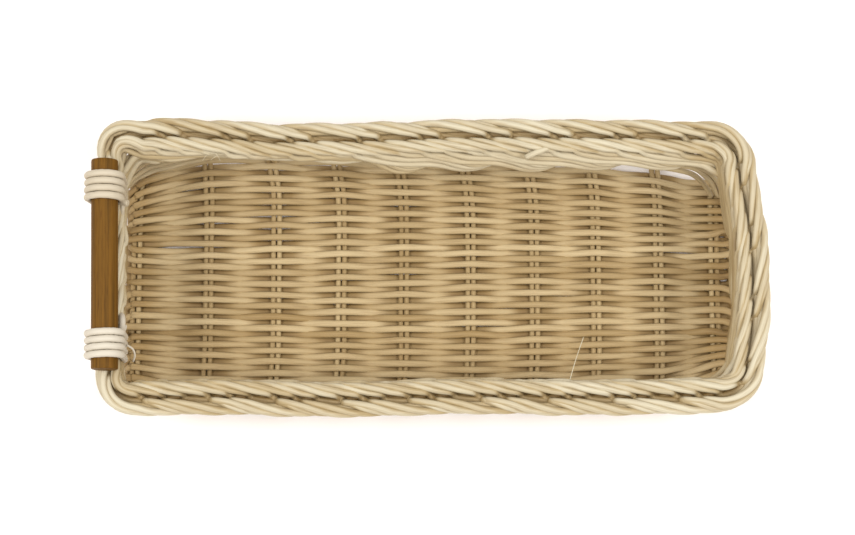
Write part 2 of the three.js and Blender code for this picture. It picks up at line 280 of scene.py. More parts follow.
# How much narrower the border's rows are at both ends, and over what run they get so
OUTER_SQUEEZE = 0.15
INNER_SQUEEZE = 0.42
FAR_END_SQUEEZE = 0.14
SQUEEZE_RUN = 22.0
INNER_SQUEEZE_RUN = 10.0
FAR_END_SQUEEZE_RUN = 8.0

# The lashings pull the lower inner side in further: how much, how far from their middles, and how low
PINCH = 0.5
PINCH_REACH = 11
PINCHED_HEIGHTS = (-12, -6)
LASHING_SPREAD = 40.0


def near_left(x, run):
    """1 at the handle end's wall and 0 from that far inside it."""
    return smooth_step(-x, END_WALL_X - run, END_WALL_X)


def near_right(x, run):
    """1 at the wall of the end without the bar and 0 from that far inside it."""
    return smooth_step(x, RIM_RIGHT - run, RIM_RIGHT)


def pinch_at(x, y):
    """How tightly the lashings pull the border's inner side together, from 0 to 1."""
    return math.exp(-(((abs(y) - LASHING_SPREAD) / PINCH_REACH) ** 2)) * near_left(x, SQUEEZE_RUN)


def far_end_bow(y):
    """How far the end without the bar bows out, at that distance from the basket's middle line."""
    return FAR_END_BULGE * (1 - (y / WALL_Y) ** 2)


def border_point(along, outward, up):
    """The border's point at that place along the rim, outwards from its valley and up from its top."""
    (x, y), way = rim_at(along)
    squeeze = 1 - OUTER_SQUEEZE * near_left(x, SQUEEZE_RUN)
    if outward < 0:
        squeeze = 1 - INNER_SQUEEZE * near_left(x, INNER_SQUEEZE_RUN)
        squeeze *= 1 - PINCH * pinch_at(x, y) * smooth_step(up, *PINCHED_HEIGHTS)
        squeeze *= 1 - FAR_END_SQUEEZE * near_right(x, FAR_END_SQUEEZE_RUN)
    bow = far_end_bow(y) if x > 0 else 0.0
    reach = outward * squeeze + wander_at(x, y, way)
    return (x + SHIFT_X + bow + way[0] * reach, y + way[1] * reach, RIM_HEIGHT + up)


# Strands as meshes

# Points closer than this are one point
SAME_POINT = 1e-4

# A cane is a little thicker here and thinner there: by what share, and over what length
SLOW_SWELL = 0.025
SLOW_SWELL_RUN = 11
FAST_SWELL = 0.015
FAST_SWELL_RUN = 3.7
SWELL_STARTS = 97

# How far apart two strands of one mesh lie in their finish's pattern, so that no two look alike
PATTERN_GAP = 50.0

# Painted shade in the grooves where a border strand meets its neighbours: how much darker, and how far round
# it that starts and is full
GROOVE_SHADE_TONE = 0.52
GROOVE_SPAN = (0.64, 0.92)


class Strands:
    """Round strands that share one mesh, each with its tone and its grain running along it."""

    def __init__(self):
        self.points = []
        self.faces = []
        self.straight = []
        self.tones = []
        self.length = 0.0

    def add(self, path, diameter, tone, sides=10, blunt=0.3, width=1.0, across=None, surface=(0.0, 0.0, 0.0)):
        """One strand along a path with slightly rounded ends; an oval one is widest in the across direction.

        Its tone and width may be one number or one for each point of the path. Surface, where it is given,
        says which way the woven surface looks at each point: the strand gets painted shade to both sides of
        that, in the grooves against its neighbours.
        """
        path = np.asarray(path, float)
        kept = np.concatenate([[True], np.linalg.norm(np.diff(path, axis=0), axis=1) > SAME_POINT])
        tone = np.broadcast_to(tone, len(path))[kept]
        width = np.broadcast_to(width, len(path))[kept]
        surface = np.broadcast_to(surface, (len(path), 3))[kept]
        path = path[kept]
        along = lengths_along(path)
        heading = np.gradient(path, axis=0)
        heading /= np.linalg.norm(heading, axis=1)[:, None]
        starts_level = abs(heading[0][2]) < 0.9
        side = np.array(across or ((0.0, 0.0, 1.0) if starts_level else (1.0, 0.0, 0.0)))
        round_it = [direction(2 * math.pi * i / sides) for i in range(sides)]
        first = len(self.points)
        last = len(path) - 1
        for k, (at, way) in enumerate(zip(path, heading)):
            if across:
                side = np.array(across)
            side = side - way * np.dot(side, way)
            side /= np.linalg.norm(side)
            normal = np.cross(way, side)
            slow = SLOW_SWELL * math.sin(along[k] / SLOW_SWELL_RUN + first % SWELL_STARTS)
            fast = FAST_SWELL * math.sin(along[k] / FAST_SWELL_RUN)
            radius = diameter / 2 * (1 + slow + fast)
            if k in (0, last):
                radius *= 1 - blunt
            # Painted shade in the grooves to both sides of the surface's direction
            flank = np.cross(way, surface[k])
            to_side, to_normal = np.dot(flank, side), np.dot(flank, normal)
            for c, s in round_it:
                groove_shade = smooth_step(abs(c * to_side + s * to_normal), *GROOVE_SPAN)
                self.points.append(at + side * (radius * c * width[k]) + normal * (radius * s))
                self.straight.append((self.length + along[k], diameter / 2 * c, diameter / 2 * s))
                self.tones.append(tone[k] + GROOVE_SHADE_TONE * groove_shade)
        self.close_tube(first, last + 1, sides)
        self.length += along[-1] + PATTERN_GAP

    def close_tube(self, first, rings, sides):
        """Joins rings of points, from that first point on, into a tube with closed ends."""
        for k in range(rings - 1):
            for i in range(sides):
                a = first + k * sides + i
                b = first + k * sides + (i + 1) % sides
                self.faces.append((a, b, b + sides, a + sides))
        end = first + (rings - 1) * sides
        self.faces.append(tuple(first + i for i in reversed(range(sides))))
        self.faces.append(tuple(end + i for i in range(sides)))

    def build(self, name, finish, slot, *nodes):
        """Makes the strands one smooth object with that finish, which stands for those nodes."""
        mesh = bpy.data.meshes.new(name)
        mesh.from_pydata([tuple(p * MM) for p in self.points], [], self.faces)
        straight = mesh.attributes.new("straight", "FLOAT_VECTOR", "POINT")
        straight.data.foreach_set("vector", np.asarray(self.straight, np.float32).ravel())
        # The tone holds each point's straw tone together with its painted shade
        tone = mesh.attributes.new("tone", "FLOAT", "POINT")
        tone.data.foreach_set("value", np.asarray(self.tones, np.float32))
        mesh.polygons.foreach_set("use_smooth", [len(face) == 4 for face in self.faces])
        mesh.materials.append(finish_for(finish))
        mesh.validate()
        piece = bpy.data.objects.new(name, mesh)
        bpy.context.scene.collection.objects.link(piece)
        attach(piece, "root")
        if nodes:
            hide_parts(*nodes)


# Materials

# What is left of a strand's colour in its painted shade, and in the pores of the cane and the bar
PAINTED_SHADE_COLOUR = (*linear("#c0ad89"), 1)
CANE_PORE_SHADE = (*linear("#ad9069"), 1)
BAR_PORE_SHADE = (*linear("#a08161"), 1)
DIMMED = {"data_type": "RGBA", "blend_type": "MULTIPLY"}


def add_node(tree, kind, links=(), **settings):
    """Adds a node, sets its properties and sockets, and links (socket, from node, from socket)."""
    node = tree.nodes.new(kind)
    for name, value in settings.items():
        if name.startswith("in_"):
            key = name[3:]
            node.inputs[int(key) if key.isdigit() else key.replace("_", " ")].default_value = value
        else:
            setattr(node, name, value)
    for socket, source, output in links:
        tree.links.new(source.outputs[output], node.inputs[socket])
    return node


def new_material(name, roughness, specular):
    """An empty material with its shader."""
    material = bpy.data.materials.new(name)
    material.use_nodes = True
    tree = material.node_tree
    tree.nodes.clear()
    shader = add_node(
        tree, "ShaderNodeBsdfPrincipled", in_Roughness=roughness, in_IOR=1.5, in_Specular_IOR_Level=specular
    )
    add_node(tree, "ShaderNodeOutputMaterial", [(0, shader, 0)])
    return material, tree, shader


def grain(tree, length, spacing, detail):
    """Lines of grain along a strand: how long and how far apart they are, in millimetres, and how fine."""
    straight = add_node(tree, "ShaderNodeAttribute", attribute_name="straight")
    scale = (1 / length, 1 / spacing, 1 / spacing)
    place = add_node(tree, "ShaderNodeMapping", [("Vector", straight, "Vector")], in_Scale=scale)
    return add_node(tree, "ShaderNodeTexNoise", [("Vector", place, "Vector")], in_Scale=1.0, in_Detail=detail)


def cut_pores(tree, shader, ground, pores, shade, low, high, depth, strength, sunk):
    """Darkens the ground where its pores are and sinks them into it, in metres.

    Pores show where their grain is between low and high: not at all at low, and to that depth at high.
    """
    links = [("Value", pores, "Fac")]
    share = add_node(tree, "ShaderNodeMapRange", links, in_1=low, in_2=high, in_3=0.0, in_4=depth)
    darker = add_node(tree, "ShaderNodeMix", [(0, share, 0), (6, ground, 2)], **DIMMED, in_7=shade)
    links = [("Height", pores, "Fac")]
    bump = add_node(tree, "ShaderNodeBump", links, in_Strength=strength, in_Distance=sunk)
    tree.links.new(darker.outputs[2], shader.inputs["Base Color"])
    tree.links.new(bump.outputs[0], shader.inputs["Normal"])


def rattan(name, light, dark, roughness, blotch=0.4, pore_depth=0.3):
    """Peeled round rattan core: matt, with fine pores in lines along it, slow changes of straw tone, and
    painted shade where its tone passes 1.
    """
    material, tree, shader = new_material(name, roughness, 0.35)
    tone = add_node(tree, "ShaderNodeAttribute", attribute_name="tone")
    # Straw tone drifts over about 40 mm of a strand, and little across it
    drift = grain(tree, 40, 9, 3.0)
    links = [(0, drift, "Fac"), (2, tone, "Fac")]
    drifted = add_node(tree, "ShaderNodeMath", links, operation="MULTIPLY_ADD", in_1=blotch * 2)
    links = [(0, drifted, 0)]
    centred = add_node(tree, "ShaderNodeMath", links, operation="SUBTRACT", in_1=blotch, use_clamp=True)
    links = [(0, centred, 0)]
    straw = add_node(tree, "ShaderNodeMix", links, data_type="RGBA", in_6=(*light, 1), in_7=(*dark, 1))
    # A tone over 1 is painted shade, dark brown, as under the border, down in the valley and deep in the mat
    shade_share = add_node(tree, "ShaderNodeMath", [(0, tone, "Fac")], operation="SUBTRACT", in_1=1.0, use_clamp=True)
    shade_darkened = add_node(tree, "ShaderNodeMix", [(0, shade_share, 0), (6, straw, 2)], **DIMMED, in_7=PAINTED_SHADE_COLOUR)
    # Pores are 0.3 mm apart and 12 mm long in the real cane, and 0.45 mm here so that they show
    pores = grain(tree, 12, 0.45, 2.0)
    depths = {"depth": pore_depth, "strength": 0.35, "sunk": 0.15 * MM}
    cut_pores(tree, shader, shade_darkened, pores, CANE_PORE_SHADE, low=0.5, high=0.7, **depths)
    return material


def oiled_bar(light, dark):
    """Oiled brown wood: hardly any sheen, with long dark streaks and a few short pores along the grain."""
    material, tree, shader = new_material("oiled_brown_wood", 0.6, 0.15)
    # Streaks are about 60 mm long and 1.6 mm apart, and the pores 9 mm and 0.35 mm
    streaks = grain(tree, 60, 1.6, 4.0)
    links = [("Value", streaks, "Fac")]
    share = add_node(tree, "ShaderNodeMapRange", links, in_1=0.35, in_2=0.68, in_3=0.0, in_4=1.0)
    links = [(0, share, 0)]
    wood = add_node(tree, "ShaderNodeMix", links, data_type="RGBA", in_6=(*light, 1), in_7=(*dark, 1))
    pores = grain(tree, 9, 0.35, 2.0)
    depths = {"depth": 0.5, "strength": 0.4, "sunk": 0.1 * MM}
    cut_pores(tree, shader, wood, pores, BAR_PORE_SHADE, low=0.55, high=0.7, **depths)
    return material


# Each kind of piece: its finish and its slot
BASE_CANE = ("peeled_rattan_base", "base_rattan")
END_STAKE_CANE = ("peeled_rattan_base", "stake_rattan")
STAKE_CANE = ("peeled_rattan_stake", "stake_rattan")
BORDER_CANE = ("peeled_rattan_border", "border_rattan")
LASHING_CANE = ("bleached_round_rattan", "bleached_rattan")
BAR_WOOD = ("oiled_brown_wood", "handle_wood")


def finish_for(kind):
    """The material of that kind, made once."""
    made = bpy.data.materials.get(kind)
    if made:
        return made
    colours = bpy.context.scene.basket_colours
    # The base's canes are brown straw and matt
    if kind == "peeled_rattan_base":
        return rattan(kind, colours.base_light, colours.base_dark, roughness=0.62)
    if kind == "peeled_rattan_stake":
        return rattan(kind, colours.stake, colours.base_dark, roughness=0.66)
    # The border's paler strands have a little more sheen
    if kind == "peeled_rattan_border":
        return rattan(kind, colours.border_light, colours.border_dark, roughness=0.55)
    # Bleaching leaves the lashings pale and even, with hardly a pore to be seen
    if kind == "bleached_round_rattan":
        evenly = {"roughness": 0.5, "blotch": 0.12, "pore_depth": 0.08}
        return rattan(kind, colours.lashing, colours.border_dark, **evenly)
    return oiled_bar(colours.bar_light, colours.bar_dark)


# The base

# How high the middles of its canes are: under the stakes, beside them and over them
UNDER_Z = 1.7
STAKE_Z = 4.35
OVER_Z = 7.35

# How far each stake pair stands off its even place in the middle of the base, and the share left at the walls
PAIR_DRIFT = (-2.0, 2.0, 3.9, 4.4, 3.4, 4.6, 4.5, 3.0, 2.4, -2.4)
WALL_DRIFT = 0.35
STRAIGHT_FROM_Y = 40
STAKE_TONES = (0.1, 0.9)
END_STAKE_TONES = (0.2, 0.8)

# The canes press flat against each other, most of all where they pass under the stakes
WEAVER_WIDENING = 1.33
UNDER_WIDENING = 0.4
UNDER_FROM = STAKE_Z + 0.5
UNDER_RISE = 2.4
WIDTH_DRIFT = 0.05

# The direction across the canes of the base
ACROSS = (0.0, 1.0, 0.0)

# A weaver's loose ends, how loosely it turns round the outermost strand, and how far apart its points are
WEAVER_TAIL = 5.5
TURN_LOOSENESS = (1.35, 1.9)
WEAVER_STEP = 2.2

# How far a weaver lies flat to each side of a stake pair's middle
FLAT_RUN = 2.2

# The weavers lie on the floor: their middles' least height, by their thickness, and their lowest point
LEAST_HEIGHT = 0.53
FLOOR_GAP = 0.02

# The rows sway together along the basket, less so at the walls, and each one wanders a little by itself
ROW_SWAY = 0.7
ROW_SWAY_LENGTH = 290.0
SWAY_LAG = 19
SWAY_FADE = (45, 57)
ROW_WANDER = 0.34
LEVEL_WANDER = 0.3
LEVEL_STRAY = 0.15

# A weaver's own tones: their mean, how far they stray, how long each lasts and how many points blend it
MEAN_TONE = 0.42
TONE_STRAY = 0.28
TONE_RUN = (150, 420)
TONE_BLEND = 13

# Painted shade on the weavers deep in the mat, where they pass under the stakes: between which heights, how
# dark and how evenly
DEEP_FROM = 4.1
DEEP_TO = 2.3
DEEP_SHADE_TONE = 1.4
DEEP_UNEVENNESS = 0.2

# Painted shade at both ends of the base too, beside the end walls, and a little more on the near side than on
# the far one
END_SHADE_TONE = 0.6
END_SHADE_RUN = 15
NEAR_SHADE_TONE = 0.25

# The far edge of the mat bows: it stands back from the wall at both ends and reaches it between them
FAR_EDGE_BOW = [
    (-158, -12.0), (-147, -6.5), (-137, -2.5), (-125, 0.4), (-105, 2.0),
    (-65, 1.2), (-10, -0.6), (80, -3.0), (110, -5.2), (145, -10.0),
]
NEAR_EDGE_BOW = [(-158, 5.0), (-120, 0.0), (60, 0.0), (120, 2.0), (158, 10.0)]
FAR_BOW_SPAN = (15, 63)
NEAR_BOW_SPAN = (20, 60)
STEEPEST_CLIMB = 0.98

# Where two rows stand apart and the floor shows: x, y, half the gap's length and half its width
PARTINGS = [(-141.0, 19.4, 10.0, 1.5), (141.0, 17.0, 9.0, 0.8)]
PARTING_SPREAD = 16.0


def weaver_width(z):
    """How many times its thickness a base cane is wide at that height."""
    return WEAVER_WIDENING + UNDER_WIDENING * smooth_step(UNDER_FROM - z, 0, UNDER_RISE)


def pair_x(pair, y):
    """Where a stake pair crosses the base at that distance from its middle line."""
    inside = 1 - smooth_step(abs(y), STRAIGHT_FROM_Y, WALL_Y)
    drift = PAIR_DRIFT[pair] * (WALL_DRIFT + (1 - WALL_DRIFT) * inside)
    return STAKE_PITCH * (pair - (STAKE_PAIRS - 1) / 2) + SHIFT_X + drift


def bowed(x, y):
    """A base row's place across the basket once the mat's edges bow, and its climb up the stakes' bend."""
    for gap_x, gap_y, length, width in PARTINGS:
        beside = math.exp(-(((x - gap_x) / length) ** 2))
        push = width * beside * (1 - smooth_step(abs(y - gap_y), 0, PARTING_SPREAD))
        y += math.copysign(push, y - gap_y)
    sway = ROW_SWAY * math.sin(2 * math.pi * x / ROW_SWAY_LENGTH + y / SWAY_LAG)
    y += sway * (1 - smooth_step(abs(y), *SWAY_FADE))
    if y > 0:
        y += between(x, FAR_EDGE_BOW) * smooth_step(y, *FAR_BOW_SPAN)
    else:
        y += between(x, NEAR_EDGE_BOW) * smooth_step(-y, *NEAR_BOW_SPAN)
    past = min(max(0.0, abs(y) - (WALL_Y - BEND_RADIUS)), BEND_RADIUS * STEEPEST_CLIMB)
    return y, BEND_RADIUS - math.sqrt(BEND_RADIUS**2 - past**2)


def passes_over(row, pair):
    """Whether a row lies on top of that stake pair."""
    return (row + pair) % 2 == 0


def row_points(row, chance):
    """One row's points from left to right: close over or under each pair and level between them."""
    points = []
    for pair in range(STAKE_PAIRS):
        x = pair_x(pair, row * ROW_PITCH)
        z = OVER_Z if passes_over(row, pair) else UNDER_Z
        nudge = stray(chance, ROW_WANDER)
        for place in (x - FLAT_RUN, x + FLAT_RUN):
            y, climb = bowed(place, row * ROW_PITCH + nudge)
            points.append((place, y, z + climb))
        if pair < STAKE_PAIRS - 1:
            middle = (x + pair_x(pair + 1, row * ROW_PITCH)) / 2
            y, climb = bowed(middle, row * ROW_PITCH + stray(chance, LEVEL_WANDER))
            points.append((middle, y, STAKE_Z + climb + stray(chance, LEVEL_STRAY)))
    return points


def turn_points(row, pair, forward, looseness):
    """The turn round the outermost strand from one row to the next."""
    climb = -1 if passes_over(row, pair) else 1
    reach = (OVER_Z - UNDER_Z) / 2
    points = []
    for share in (0.0, 0.25, 0.5, 0.75, 1.0):
        turn = math.pi * share
        x = SHIFT_X + forward * (OUTER_STRAND_X + reach * looseness * math.sin(turn))
        y, rise = bowed(x, (row + share) * ROW_PITCH)
        points.append((x, y, STAKE_Z - climb * reach * math.cos(turn) + rise))
    return points


def drifting_tones(path, chance):
    """A weaver's own tones: each lasts about a row and blends into the next."""
    tones = []
    tone_end = 0.0
    for place in lengths_along(path):
        if place >= tone_end:
            tone = min(1.0, max(0.0, chance.gauss(MEAN_TONE, TONE_STRAY)))
            tone_end = place + chance.uniform(*TONE_RUN)
        tones.append(tone)
    padded = np.pad(tones, TONE_BLEND // 2, mode="edge")
    return np.convolve(padded, np.full(TONE_BLEND, 1 / TONE_BLEND), mode="valid")


def with_painted_shade(tones, path):
    """A base cane's tones with painted shade added wherever it lies deep in the mat, at its ends and on its
    near side.
    """
    ends_from = OUTER_STRAND_X - END_SHADE_RUN
    ends = np.array([smooth_step(abs(x - SHIFT_X), ends_from, OUTER_STRAND_X) for x in path[:, 0]])
    tones = tones + END_SHADE_TONE * ends - NEAR_SHADE_TONE * path[:, 1] / WALL_Y
    deep = np.array([smooth_step(DEEP_FROM - z, 0, DEEP_FROM - DEEP_TO) for z in path[:, 2]])
    deep *= 1 - DEEP_UNEVENNESS + DEEP_UNEVENNESS * np.sin(path[:, 0] / 23 + path[:, 1] * 2.1)
    return tones + (DEEP_SHADE_TONE - tones) * deep


class BASKET_OT_base_weavers(bpy.types.Operator):
    """Weaves the four long strands of the base, back and forth over the stake pairs"""

    bl_idname = "basket.base_weavers"
    bl_label = "Base weavers"

    def execute(self, context):
        diameter = context.scene.basket_sizes.weaver / MM
        limits = [-NEAR_ROWS - 1, *END_STAKE_ROWS, FAR_ROWS + 1]
        for number, (before, after) in enumerate(zip(limits, limits[1:]), 1):
            chance = random.Random(100 + number)
            path = []
            for row in range(before + 1, after):
                forward = 1 if (row - before) % 2 else -1
                points = row_points(row, chance)[::forward]
                if row == before + 1:
                    x, y, z = points[0]
                    path.append((x - forward * WEAVER_TAIL, y, z))
                path += points[:-1]
                if row < after - 1:
                    end_pair = STAKE_PAIRS - 1 if forward > 0 else 0
                    path += turn_points(row, end_pair, forward, chance.uniform(*TURN_LOOSENESS))
                else:
                    x, y, z = points[-1]
                    path += [points[-1], (x + forward * WEAVER_TAIL, y, z)]
            path = smooth_path(path, WEAVER_STEP)
            path[:, 2] = np.maximum(path[:, 2], diameter * LEAST_HEIGHT)
            width = [weaver_width(z) * (1 + WIDTH_DRIFT * math.sin(x / 37 + y * 1.9)) for x, y, z in path]
            # Painted shade darkens the weaver deep in the mat, at its ends and on its near side
            tones = with_painted_shade(drifting_tones(path, chance), path)
            weaver = Strands()
            weaver.add(path, diameter, tones, width=width, across=ACROSS)
            for point in weaver.points:
                point[2] = max(point[2], FLOOR_GAP)
            weaver.build(f"woven_base_{number}", *BASE_CANE, f"base_weaver_{number}")
        return {"FINISHED"}


# The stakes

# How far below the solid model's stakes these end, hidden by the border's core, and where they turn upright
HIDDEN_TOP = 3.0
UPRIGHT_TOP = 9

# How far a stake strays from its line on the wall and in the base
WALL_STRAY = 0.3
BASE_STRAY = 0.2

# Points that a stake passes: out and up on a long wall, up on an end wall, and across in the base
LONG_WALL_POINTS = ((WALL_Y - 0.3, 22), (WALL_Y, 10))
END_WALL_POINT = 20
BASE_POINTS = (48, 32, 16)
STAKE_STEP = 2.0


def bend_point(turn, level):
    """How far out and how high a stake is after that many degrees of its bend up from the base."""
    angle = math.radians(turn)
    return BEND_RADIUS * math.sin(angle), level + BEND_RADIUS * (1 - math.cos(angle))


def rim_half_width(x):
    """How far the valley line is from the basket's middle line at that place along it."""
    corner = CORNER_HANDLE_END if x < 0 else CORNER_FAR_END
    centre = RIM_LEFT + corner if x < 0 else RIM_RIGHT - corner
    past = min(max(0.0, centre - x if x < 0 else x - centre), corner)
    return WALL_Y - corner + math.sqrt(corner**2 - past**2)


def cross_stake_points(node, pair, side, chance):
    """A cross stake's way down the near wall, through the base beside its partner and up the far wall."""
    low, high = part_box(node)
    cad_x = (low[0] + high[0]) / 2 / MM
    top_y = (high[1] - low[1]) / 2 / MM
    top_z = high[2] / MM
    lean = min(top_y, rim_half_width(cad_x - SHIFT_X))
    points = []
    for sign in (-1, 1):
        wall = []
        for y, z in ((lean, top_z - HIDDEN_TOP), (lean, top_z - UPRIGHT_TOP), *LONG_WALL_POINTS):
            wall.append((cad_x + stray(chance, WALL_STRAY), sign * y, z))
        for turn in (60, 30, 0):
            out, z = bend_point(turn, STAKE_Z)
            y = WALL_Y - BEND_RADIUS + out
            wall.append((pair_x(pair, y) + side, sign * y, z))
        for y in BASE_POINTS:
            x = pair_x(pair, y) + side + stray(chance, BASE_STRAY)
            wall.append((x, sign * y, STAKE_Z + stray(chance, LEVEL_STRAY)))
        points += wall if sign < 0 else wall[::-1]
    return points


class BASKET_OT_cross_stakes(bpy.types.Operator):
    """Lays the pairs of cross stakes through the base and up both long walls"""

    bl_idname = "basket.cross_stakes"
    bl_label = "Cross stakes"

    def execute(self, context):
        diameter = context.scene.basket_sizes.stake / MM
        chance = random.Random(7)
        for pair in range(STAKE_PAIRS):
            for letter, side in (("a", -HALF_PAIR), ("b", HALF_PAIR)):
                name = f"stake_{pair + 1:02d}{letter}"
                node = f"cross_{name}"
                path = smooth_path(cross_stake_points(node, pair, side, chance), STAKE_STEP)
                stake = Strands()
                stake.add(path, diameter, chance.uniform(*STAKE_TONES))
                stake.build(name, *STAKE_CANE, node)
        return {"FINISHED"}


def end_stake_rise(node, row, sign):
    """A long end stake's way from the base's outermost strand up one end wall."""
    y = row * ROW_PITCH
    level = OVER_Z if passes_over(row, 0 if sign < 0 else STAKE_PAIRS - 1) else UNDER_Z
    top = -RIM_LEFT if sign < 0 else RIM_RIGHT + far_end_bow(y)
    top_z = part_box(node)[1][2] / MM
    rise = [(OUTER_STRAND_X, level)]
    for turn in (30, 60, 90):
        out, z = bend_point(turn, level)
        rise.append((OUTER_STRAND_X + out, z))
    rise += [(END_WALL_X, END_WALL_POINT), (top, top_z - UPRIGHT_TOP), (top, top_z - HIDDEN_TOP)]
    return [(SHIFT_X + sign * x, y, z) for x, z in rise]


class BASKET_OT_end_stakes(bpy.types.Operator):
    """Weaves the three long end stakes and raises them at both end walls"""

    bl_idname = "basket.end_stakes"
    bl_label = "Long end stakes"

    def execute(self, context):
        diameter = context.scene.basket_sizes.stake / MM
        for name, row in zip(("near", "middle", "far"), END_STAKE_ROWS):
            chance = random.Random(40 + row)
            node = f"long_end_stake_{name}"
            left, right = (end_stake_rise(node, row, sign) for sign in (-1, 1))
            path = smooth_path(left[::-1] + row_points(row, chance)[1:-1] + right, WEAVER_STEP)
            width = [weaver_width(z) if abs(x) < OUTER_STRAND_X else 1.0 for x, _, z in path]
            # Painted shade darkens the end stake deep in the mat and at its ends
            tones = with_painted_shade(chance.uniform(*END_STAKE_TONES), path)
            stake = Strands()
            stake.add(path, diameter, tones, width=width, across=ACROSS)
            stake.build(f"end_stake_{name}", *END_STAKE_CANE, node)
        return {"FINISHED"}


# The border

# The layer of strands round each row: thickness, angles to the rim, and each arc's ends in degrees and steps
BORDER_LAYER = 3.3
OUTER_LAY_ANGLE = 13.5
INNER_LAY_ANGLE = 12.5
TUCK_ANGLE = 38.0
TUCKED_BELOW = -OUTER_ROW_WIDTH * 0.62
OUTER_ARC = (-75, 156, 7)
INNER_ARC = (22, 180, 5)

# The valley between the rows: its width, how long a strand lies in it, and how deep
VALLEY_OPENING = 0.5
VALLEY_RUN = 7.2
VALLEY_DIP = -7.2

# How far along the rim the groups start, against those of the solid model, and how far each strand strays
GROUP_PHASE = -9.4
START_STRAY = 1.3
POINT_STRAY = 0.4

# How far apart a strand's points are over the rows and where it hangs
ROWS_STEP = 1.6
HANGING_STEP = 1.8

# The third strand of each group lies lower and dives sooner, and leaves a dark hole in the valley
EARLY_DIVE = 10.0
DEEPER_DIVE = 1.4
LANE_LIFT = (0.1, 0.45, -0.85)
LIFT_STRAY = 0.15
LIFTED_ABOVE = -4
LANE_OUT = (0.0, 0.35, -0.3)
LANE_OUT_SPAN = (4, 7)


def row_arc(side, width, start, stop, steps):
    """The middle of the strand layer round one row of the border, as (outward, up)."""
    radius = (width - BORDER_LAYER) / 2
    turns = [math.radians(start + (stop - start) * i / steps) for i in range(steps + 1)]
    middle = side * (width + VALLEY_OPENING) / 2
    return [(middle + radius * math.cos(t), radius * math.sin(t) - width / 2) for t in turns]


def advance(stations, points, angle):
    """Adds points to a strand's stations, laid at that angle to the rim."""
    for out, up in points:
        along = 0.0
        if stations:
            before = stations[-1]
            run = math.hypot(out - before[1], up - before[2])
            along = before[0] + run / math.tan(math.radians(TUCK_ANGLE if up < TUCKED_BELOW else angle))
        stations.append((along, out, up))


def over_both_rows(early, deeper):
    """A border strand's way over the outer row, through the valley and over the inner row."""
    stations = []
    advance(stations, row_arc(1, OUTER_ROW_WIDTH, *OUTER_ARC), OUTER_LAY_ANGLE)
    lip = stations[-1][0]
    last = len(stations) - 1
    stations = [(along - early * (k / last) ** 2, out, up) for k, (along, out, up) in enumerate(stations)]
    inner = row_arc(-1, INNER_ROW_WIDTH, *INNER_ARC)
    stations += [
        (lip - early + VALLEY_RUN * 0.25, 1.7, VALLEY_DIP + 1.6 - deeper),
        (lip + VALLEY_RUN * 0.5, 0.1, VALLEY_DIP - deeper),
        (lip + VALLEY_RUN * 0.75, -1.6, VALLEY_DIP + 1.4 - deeper / 2),
        (lip + VALLEY_RUN, *inner[0]),
    ]
    advance(stations, inner[1:], INNER_LAY_ANGLE)
    return stations


def surface_direction(along, out, up):
    """Which way the surface of the border's nearer row looks at that place."""
    width = OUTER_ROW_WIDTH if out > 0 else INNER_ROW_WIDTH
    outward = out - math.copysign((width + VALLEY_OPENING) / 2, out)
    upward = up + width / 2
    _, way = rim_at(along)
    return np.array([way[0] * outward, way[1] * outward, upward]) / math.hypot(outward, upward)


# How far the swags hang, by x along each side: tight on the handle end and over the far bays beside it
FAR_SWAGS = [
    (-157, 0.2), (-150, 0.8), (-138, 0.6), (-125, 0.2), (-100, 0.08), (-62, 0.0),
    (-16, 0.95), (70, 1.0), (95, 0.8), (130, 0.8), (146, 1.0), (155, 0.5),
]
NEAR_SWAGS = [(-157, 0.2), (-148, 0.1), (140, 0.1), (155, 0.5)]

# Where a strand hangs past the inner row: bays past its group's middle, the lanes' distance along the rim,
# then how far in and how far down it is: a fixed part, a part by the swag's size and one by its lane too
UPPER_SWAG = [(0.45, 4, (6.6, 1.2, 1.5), (7.0, 0.0, 2.9)), (0.95, 3, (6.8, 1.4, 1.7), (9.2, 0.0, 2.2))]
LOWER_SWAG = [(1.40, 3, (6.8, 5.0, 0.7), (9.0, 6.4, 2.3)), (1.75, 3, (6.9, 3.5, 0.8), (9.8, 4.2, 1.8))]
SWAG_END = [(2.05, 8, (5.8, 0.0, 0.0), (9.8, 0.0, 0.5))]

# From there it crosses under the valley to the outer row: bays, the lanes' distance, inward and down
UNDER_VALLEY = [(2.36, 11, 2.7, 9.2), (2.68, 11, -0.4, 8.8), (3.00, 11, -3.4, 8.4), (3.30, 11, -6.0, 7.6)]

# The bays past a group's middle at which its two swags and its place on an end wall are read
UPPER_BAY = 0.45
LOWER_BAY = 1.45
UPPER_WALL_BAY = 0.7
LOWER_WALL_BAY = 1.5

# The lower strands fan out across both far corners: each corner's middle and the fan's share there
FAN_CORNERS = (
    (RIM_LENGTH - CORNER_HANDLE_END * math.pi / 4, 1.0),
    (RIM_RIGHT - CORNER_FAR_END - RIM_LEFT - CORNER_HANDLE_END + CORNER_FAR_END * math.pi / 4, 0.6),
)
FAN_HALF_RUN = 13.0
FAN_REACH = (1.4, 3.6, 6.0)

# On both end walls the lower strands hang this much lower, and this much closer to the wall
END_DROP = 15.0
END_TUCK = 2.4
LEFT_TUCK = 2.6

# Over how much of the rim a side wall turns into an end wall
END_BLEND = 5


def swag_size(along):
    """How far the strands hang below the inner row at that place along the rim."""
    (x, y), _ = rim_at(along)
    return between(x, FAR_SWAGS if y > 0 else NEAR_SWAGS)


def left_share(along):
    """1 on the handle end's wall and 0 elsewhere."""
    return near_left(rim_at(along)[0][0], END_BLEND)


def right_share(along):
    """1 on the wall of the end without the bar and 0 elsewhere."""
    return near_right(rim_at(along)[0][0], END_BLEND)


def end_share(along):
    """1 on the end walls and 0 on the long ones."""
    return max(left_share(along), right_share(along))


